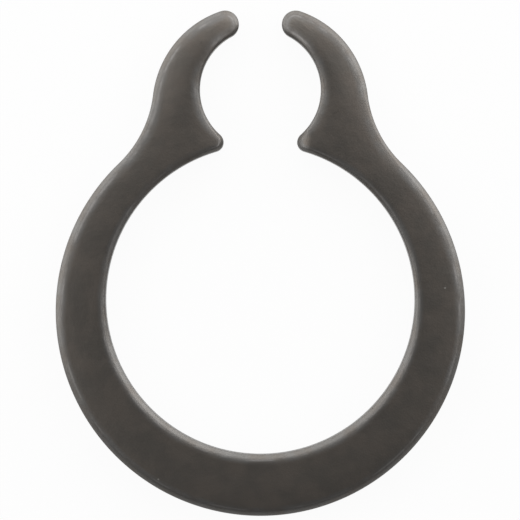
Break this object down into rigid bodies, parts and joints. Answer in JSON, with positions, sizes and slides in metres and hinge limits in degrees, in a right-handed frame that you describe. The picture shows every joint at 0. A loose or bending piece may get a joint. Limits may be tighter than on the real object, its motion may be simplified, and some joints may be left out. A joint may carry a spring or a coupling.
{
  "type": "external retaining ring",
  "caption": "Flat spring-steel retaining ring for a shaft groove: a tapered band, open at the top between two hooked lugs that enclose a round plier recess.",
  "frame": {"origin": "on the axis of the ring's bore, in the plane of its underside", "axes": "+Z along the bore, out of the rolled upper face; +Y towards the gap between the lugs; X across the ring, which is the same on both sides of the YZ plane"},
  "size_m": [0.0098, 0.0121, 0.0008],
  "materials": {
    "spring_steel": "hardened spring steel, phosphated and oiled to a dark warm grey satin"
  },
  "bodies": {
    "root": {"retaining_ring": "spring_steel"}
  },
  "joints": []
}
